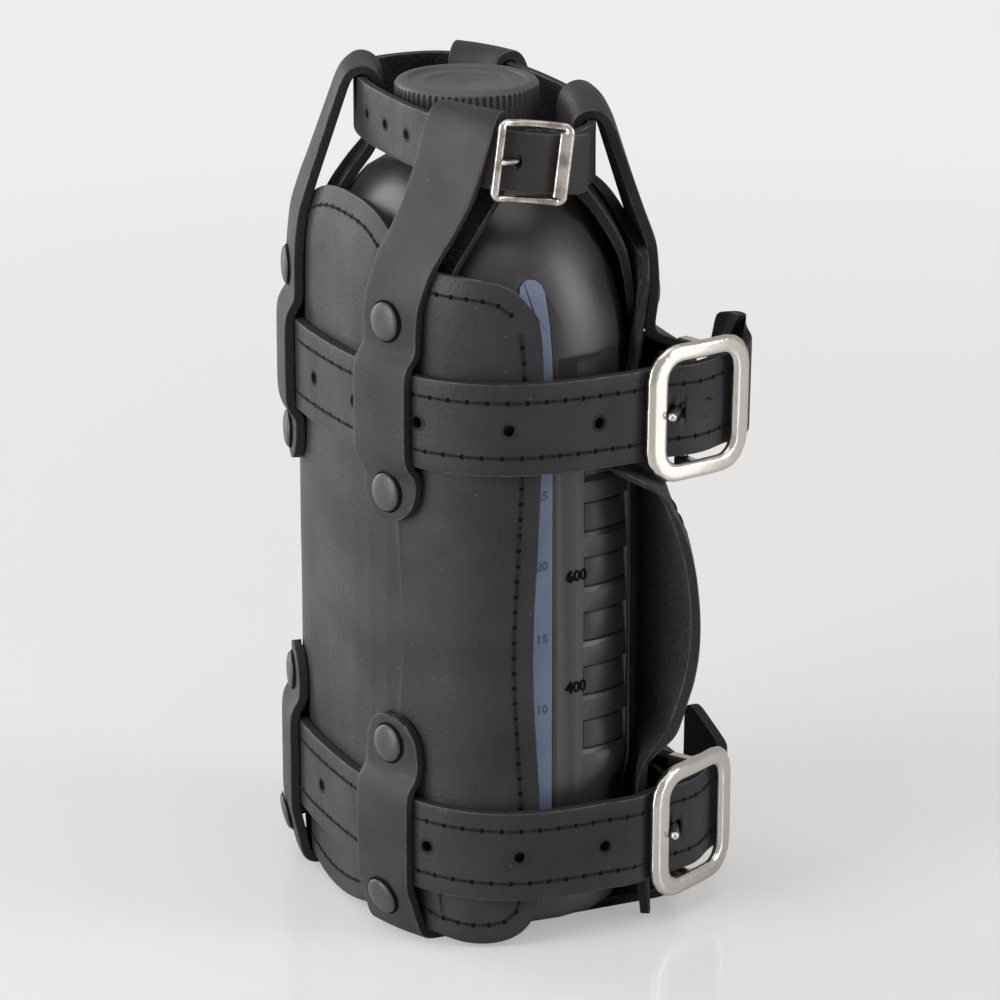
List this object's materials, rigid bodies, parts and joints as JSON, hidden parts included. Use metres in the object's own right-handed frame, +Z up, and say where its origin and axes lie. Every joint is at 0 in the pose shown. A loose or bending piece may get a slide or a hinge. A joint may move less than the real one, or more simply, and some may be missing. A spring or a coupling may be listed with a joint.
{
  "type": "oil bottle holder",
  "caption": "Leather carrier with two buckled belts, base straps and a buckled neck collar, holding a flat oil bottle with a screw cap.",
  "frame": {"origin": "centre of the bounding box in plan, on the floor under the base straps", "axes": "+Z up, -Y the broad front, +X the open narrow side with the buckles and the sight strip"},
  "size_m": [0.1272, 0.1094, 0.2304],
  "materials": {
    "bottle_body": "satin black moulded polyethylene",
    "level_stripe": "translucent blue-grey",
    "bottle_cap": "dark grey, fine grain",
    "cap_liner": "soft white foam",
    "front_panel": "matte charcoal, grey flesh side",
    "back_panel": "matte charcoal, grey flesh side",
    "upper_belt": "matte charcoal, grey flesh side",
    "lower_belt": "matte charcoal, grey flesh side",
    "neck_collar": "matte charcoal, grey flesh side",
    "neck_strap_front_left": "matte charcoal, grey flesh side",
    "neck_strap_front_right": "matte charcoal, grey flesh side",
    "neck_strap_back_left": "matte charcoal, grey flesh side",
    "neck_strap_back_right": "matte charcoal, grey flesh side",
    "base_strap_left": "matte charcoal, grey flesh side",
    "base_strap_right": "matte charcoal, grey flesh side",
    "upper_buckle_frame": "satin nickel plate",
    "upper_buckle_prong": "satin nickel plate",
    "lower_buckle_frame": "satin nickel plate",
    "lower_buckle_prong": "satin nickel plate",
    "neck_buckle_frame": "satin nickel plate",
    "neck_buckle_prong": "satin nickel plate",
    "neck_strap_front_left_rivet_1": "black lacquer",
    "neck_strap_front_left_rivet_2": "black lacquer",
    "neck_strap_front_right_rivet_1": "black lacquer",
    "neck_strap_front_right_rivet_2": "black lacquer",
    "neck_strap_back_left_rivet_1": "black lacquer",
    "neck_strap_back_left_rivet_2": "black lacquer",
    "neck_strap_back_right_rivet_1": "black lacquer",
    "neck_strap_back_right_rivet_2": "black lacquer",
    "base_strap_left_rivet_1": "black lacquer",
    "base_strap_left_rivet_2": "black lacquer",
    "base_strap_left_rivet_3": "black lacquer",
    "base_strap_left_rivet_4": "black lacquer",
    "base_strap_right_rivet_1": "black lacquer",
    "base_strap_right_rivet_2": "black lacquer",
    "base_strap_right_rivet_3": "black lacquer",
    "base_strap_right_rivet_4": "black lacquer"
  },
  "bodies": {
    "carrier": {"bottle_body": "bottle_body", "level_stripe": "level_stripe", "front_panel": "front_panel", "back_panel": "back_panel", "upper_belt": "upper_belt", "lower_belt": "lower_belt", "neck_collar": "neck_collar", "neck_strap_front_left": "neck_strap_front_left", "neck_strap_front_right": "neck_strap_front_right", "neck_strap_back_left": "neck_strap_back_left", "neck_strap_back_right": "neck_strap_back_right", "base_strap_left": "base_strap_left", "base_strap_right": "base_strap_right", "neck_strap_front_left_rivet_1": "neck_strap_front_left_rivet_1", "neck_strap_front_left_rivet_2": "neck_strap_front_left_rivet_2", "neck_strap_front_right_rivet_1": "neck_strap_front_right_rivet_1", "neck_strap_front_right_rivet_2": "neck_strap_front_right_rivet_2", "neck_strap_back_left_rivet_1": "neck_strap_back_left_rivet_1", "neck_strap_back_left_rivet_2": "neck_strap_back_left_rivet_2", "neck_strap_back_right_rivet_1": "neck_strap_back_right_rivet_1", "neck_strap_back_right_rivet_2": "neck_strap_back_right_rivet_2", "base_strap_left_rivet_1": "base_strap_left_rivet_1", "base_strap_left_rivet_2": "base_strap_left_rivet_2", "base_strap_left_rivet_3": "base_strap_left_rivet_3", "base_strap_left_rivet_4": "base_strap_left_rivet_4", "base_strap_right_rivet_1": "base_strap_right_rivet_1", "base_strap_right_rivet_2": "base_strap_right_rivet_2", "base_strap_right_rivet_3": "base_strap_right_rivet_3", "base_strap_right_rivet_4": "base_strap_right_rivet_4"},
    "cap_seal": {"cap_liner": "cap_liner"},
    "cap": {"bottle_cap": "bottle_cap"},
    "upper_buckle_ring": {"upper_buckle_frame": "upper_buckle_frame"},
    "upper_buckle_tongue": {"upper_buckle_prong": "upper_buckle_prong"},
    "lower_buckle_ring": {"lower_buckle_frame": "lower_buckle_frame"},
    "lower_buckle_tongue": {"lower_buckle_prong": "lower_buckle_prong"},
    "neck_buckle_ring": {"neck_buckle_frame": "neck_buckle_frame"},
    "neck_buckle_tongue": {"neck_buckle_prong": "neck_buckle_prong"}
  },
  "joints": [
    {"name": "cap_lift", "type": "slide", "parent": "carrier", "child": "cap_seal", "axis": [0, 0, 1], "range_m": [0, 0.01]},
    {"name": "cap_turn", "type": "hinge", "parent": "cap_seal", "child": "cap", "pos_m": [-0.00194, -0.01037, 0.2111], "axis": [0, 0, 1], "range_deg": [0, 900]},
    {"name": "upper_buckle_rock", "type": "hinge", "parent": "carrier", "child": "upper_buckle_ring", "pos_m": [0.04926, 0.02963, 0.1456], "axis": [-0.0066, 0.0231, 0.9997], "range_deg": [-1.5, 1.5]},
    {"name": "upper_buckle_prong_lift", "type": "hinge", "parent": "upper_buckle_ring", "child": "upper_buckle_tongue", "pos_m": [0.04926, 0.02963, 0.1456], "axis": [-0.0066, 0.0231, 0.9997], "range_deg": [0, 4]},
    {"name": "lower_buckle_rock", "type": "hinge", "parent": "carrier", "child": "lower_buckle_ring", "pos_m": [0.04586, 0.03003, 0.02608], "axis": [-0.0036, 0.0068, 1], "range_deg": [-1.5, 1.5]},
    {"name": "lower_buckle_prong_lift", "type": "hinge", "parent": "lower_buckle_ring", "child": "lower_buckle_tongue", "pos_m": [0.04586, 0.03003, 0.02608], "axis": [-0.0036, 0.0068, 1], "range_deg": [0, 4]},
    {"name": "neck_buckle_rock", "type": "hinge", "parent": "carrier", "child": "neck_buckle_ring", "pos_m": [0.04377, -0.01395, 0.21565], "axis": [0.0261, 0.1266, 0.9916], "range_deg": [-1.5, 1.5]},
    {"name": "neck_buckle_prong_lift", "type": "hinge", "parent": "neck_buckle_ring", "child": "neck_buckle_tongue", "pos_m": [0.04377, -0.01395, 0.21565], "axis": [0.0261, 0.1266, 0.9916], "range_deg": [0, 4]}
  ],
  "couplings": [
    {"joint": "cap_lift", "follows": "cap_turn", "m_per_rad": 0.0006366}
  ]
}
